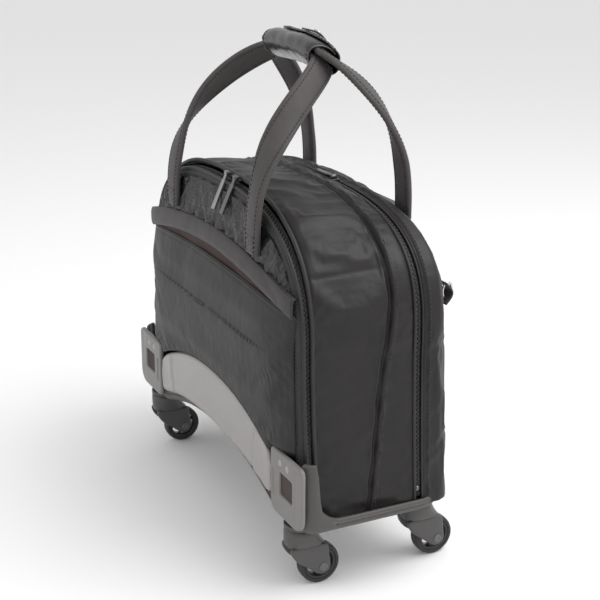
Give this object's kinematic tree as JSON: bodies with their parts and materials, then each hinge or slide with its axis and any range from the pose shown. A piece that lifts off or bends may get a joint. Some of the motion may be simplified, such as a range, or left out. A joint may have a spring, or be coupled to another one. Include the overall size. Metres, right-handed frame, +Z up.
{
  "type": "rolling laptop case",
  "caption": "Soft rolling laptop case with a moulded base, swivel casters, padded carry handles in a leather wrap and a telescopic trolley handle.",
  "frame": {"origin": "centre of the footprint of the bounding box, on the floor", "axes": "+X along the long width, -Y towards the pocket side, +Z up"},
  "size_m": [0.452, 0.193, 0.5294],
  "materials": {
    "case_fabric": "smooth dense twill with a soft sheen",
    "quilted_fabric": "diamond-quilted satin nylon",
    "strap_fabric": "padded smooth twill with stitched edges",
    "zip_tape": "woven tape with moulded coil teeth",
    "lining": "plain woven lining",
    "black_leather": "glossy smooth",
    "moulded_plastic": "fine-grained",
    "satin_plate": "satin metallic paint",
    "dark_plastic": "satin",
    "insert": "matt recessed",
    "tyre": "smooth polyurethane",
    "tube_metal": "anodised",
    "bright_metal": "polished",
    "dark_metal": "gunmetal satin"
  },
  "bodies": {
    "case": {"base_tray": "moulded_plastic", "corner_guard_left": "satin_plate", "corner_guard_right": "satin_plate", "guard_insert_left": "insert", "guard_insert_right": "insert", "guard_rivets": "bright_metal", "front_plate": "satin_plate", "front_apron": "case_fabric", "main_gusset": "case_fabric", "rear_shell": "case_fabric", "zip_rear": "zip_tape", "floor_pad": "lining", "laptop_sleeve": "lining", "outer_tubes": "tube_metal", "trolley_bezel": "moulded_plastic", "trolley_foot": "moulded_plastic", "bezel_screws": "bright_metal", "mount_screws": "bright_metal", "mount_front_left": "dark_plastic", "mount_front_right": "dark_plastic", "mount_rear_left": "dark_plastic", "mount_rear_right": "dark_plastic"},
    "front_door": {"front_door_panel": "quilted_fabric", "zip_front": "zip_tape", "pocket_panel": "case_fabric", "pocket_welt": "strap_fabric", "organizer_pocket": "lining"},
    "front_handle": {"front_strap": "strap_fabric", "handle_wrap": "black_leather", "wrap_snap": "bright_metal"},
    "rear_handle": {"rear_strap": "strap_fabric"},
    "trolley_stage_1": {"stage_1_tubes": "tube_metal"},
    "trolley_stage_2": {"stage_2_tubes": "tube_metal"},
    "trolley_stage_3": {"stage_3_tubes": "tube_metal", "trolley_grip": "dark_plastic"},
    "trolley_button": {"grip_button": "moulded_plastic"},
    "slider_left": {"slider_front_left": "dark_metal"},
    "slider_right": {"slider_front_right": "dark_metal"},
    "slider_back": {"slider_rear": "dark_metal"},
    "pull_left": {"pull_front_left": "dark_metal"},
    "pull_right": {"pull_front_right": "dark_metal"},
    "pull_back": {"pull_rear": "dark_metal"},
    "caster_front_left": {"fork_front_left": "dark_plastic", "axle_front_left": "bright_metal"},
    "wheel_front_left": {"rim_front_left": "dark_plastic", "tyre_front_left": "tyre"},
    "caster_front_right": {"fork_front_right": "dark_plastic", "axle_front_right": "bright_metal"},
    "wheel_front_right": {"rim_front_right": "dark_plastic", "tyre_front_right": "tyre"},
    "caster_rear_left": {"fork_rear_left": "dark_plastic", "axle_rear_left": "bright_metal"},
    "wheel_rear_left": {"rim_rear_left": "dark_plastic", "tyre_rear_left": "tyre"},
    "caster_rear_right": {"fork_rear_right": "dark_plastic", "axle_rear_right": "bright_metal"},
    "wheel_rear_right": {"rim_rear_right": "dark_plastic", "tyre_rear_right": "tyre"}
  },
  "joints": [
    {"name": "front_door_fold", "type": "hinge", "parent": "case", "child": "front_door", "pos_m": [0, -0.0965, 0.172], "axis": [1, 0, 0], "range_deg": [0, 75]},
    {"name": "front_handle_fold", "type": "hinge", "parent": "front_door", "child": "front_handle", "pos_m": [0, -0.0918, 0.328], "axis": [1, 0, 0], "range_deg": [0, 115], "deforming": ["handle_wrap"]},
    {"name": "rear_handle_fold", "type": "hinge", "parent": "case", "child": "rear_handle", "pos_m": [0, 0.0778, 0.346], "axis": [1, 0, 0], "range_deg": [-135, 0], "deforming": ["handle_wrap"]},
    {"name": "trolley_slide_1", "type": "slide", "parent": "case", "child": "trolley_stage_1", "axis": [0, 0, 1], "range_m": [0, 0.195]},
    {"name": "trolley_slide_2", "type": "slide", "parent": "trolley_stage_1", "child": "trolley_stage_2", "axis": [0, 0, 1], "range_m": [0, 0.195]},
    {"name": "trolley_slide_3", "type": "slide", "parent": "trolley_stage_2", "child": "trolley_stage_3", "axis": [0, 0, 1], "range_m": [0, 0.195]},
    {"name": "grip_button_press", "type": "slide", "parent": "trolley_stage_3", "child": "trolley_button", "axis": [0, 0, 1], "range_m": [-0.0025, 0], "stiffness_N_per_m": 400, "springref_m": 0.0005},
    {"name": "slider_left_run", "type": "hinge", "parent": "front_door", "child": "slider_left", "pos_m": [0, -0.0748, -0.2862], "axis": [0, 1, 0], "range_deg": [-7.5, 0]},
    {"name": "slider_right_run", "type": "hinge", "parent": "front_door", "child": "slider_right", "pos_m": [0, -0.0748, -0.2862], "axis": [0, 1, 0], "range_deg": [0, 4.5]},
    {"name": "slider_back_run", "type": "hinge", "parent": "case", "child": "slider_back", "pos_m": [0, 0.038, -0.929], "axis": [0, 1, 0], "range_deg": [-4.2, 2.1]},
    {"name": "pull_left_swing", "type": "hinge", "parent": "slider_left", "child": "pull_left", "pos_m": [0.012, -0.0774, 0.3867], "axis": [1, 0, 0], "range_deg": [-120, 0]},
    {"name": "pull_right_swing", "type": "hinge", "parent": "slider_right", "child": "pull_right", "pos_m": [0.034, -0.0774, 0.3867], "axis": [1, 0, 0], "range_deg": [-120, 0]},
    {"name": "pull_back_swing", "type": "hinge", "parent": "slider_back", "child": "pull_back", "pos_m": [0.0274, 0.038, 0.3749], "axis": [0, 1, 0], "range_deg": [0, 150]},
    {"name": "swivel_front_left", "type": "hinge", "parent": "case", "child": "caster_front_left", "pos_m": [-0.189, -0.079, 0.055], "axis": [0, 0, 1], "continuous": true},
    {"name": "spin_front_left", "type": "hinge", "parent": "caster_front_left", "child": "wheel_front_left", "pos_m": [-0.189, -0.059, 0.0217], "axis": [1, 0, 0], "continuous": true},
    {"name": "swivel_front_right", "type": "hinge", "parent": "case", "child": "caster_front_right", "pos_m": [0.189, -0.079, 0.055], "axis": [0, 0, 1], "continuous": true},
    {"name": "spin_front_right", "type": "hinge", "parent": "caster_front_right", "child": "wheel_front_right", "pos_m": [0.189, -0.059, 0.0217], "axis": [1, 0, 0], "continuous": true},
    {"name": "swivel_rear_left", "type": "hinge", "parent": "case", "child": "caster_rear_left", "pos_m": [-0.189, 0.0548, 0.055], "axis": [0, 0, 1], "continuous": true},
    {"name": "spin_rear_left", "type": "hinge", "parent": "caster_rear_left", "child": "wheel_rear_left", "pos_m": [-0.189, 0.0748, 0.0217], "axis": [1, 0, 0], "continuous": true},
    {"name": "swivel_rear_right", "type": "hinge", "parent": "case", "child": "caster_rear_right", "pos_m": [0.189, 0.0548, 0.055], "axis": [0, 0, 1], "continuous": true},
    {"name": "spin_rear_right", "type": "hinge", "parent": "caster_rear_right", "child": "wheel_rear_right", "pos_m": [0.189, 0.0748, 0.0217], "axis": [1, 0, 0], "continuous": true}
  ]
}
